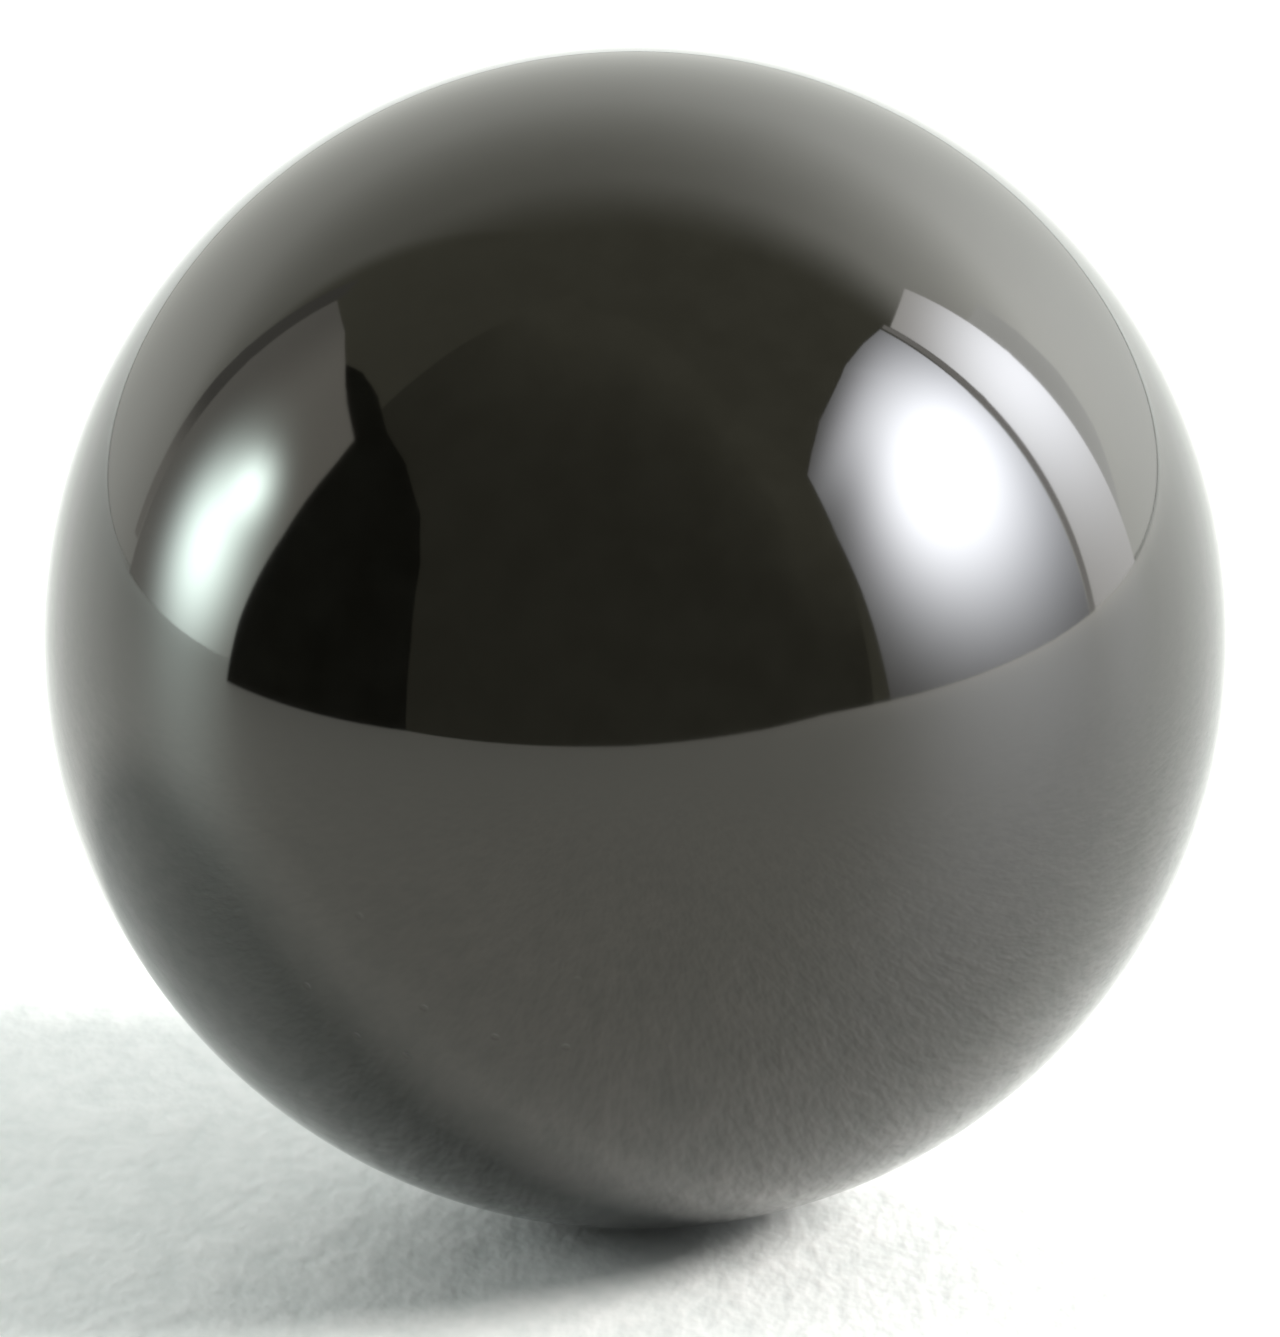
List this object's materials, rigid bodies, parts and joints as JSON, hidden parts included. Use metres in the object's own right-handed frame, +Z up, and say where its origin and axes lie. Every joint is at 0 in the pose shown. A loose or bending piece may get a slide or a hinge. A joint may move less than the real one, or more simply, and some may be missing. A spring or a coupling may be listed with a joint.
{
  "type": "ceramic bearing ball",
  "caption": "Solid polished silicon nitride ball, a rolling element that carries load between the two raceways of a hybrid or full ceramic bearing.",
  "frame": {"origin": "centre of the ball", "axes": "+Z up. The ball is alike about every axis through its centre"},
  "size_m": [0.007, 0.007, 0.007],
  "materials": {
    "silicon_nitride": "polished"
  },
  "bodies": {
    "root": {"ball": "silicon_nitride"}
  },
  "joints": []
}
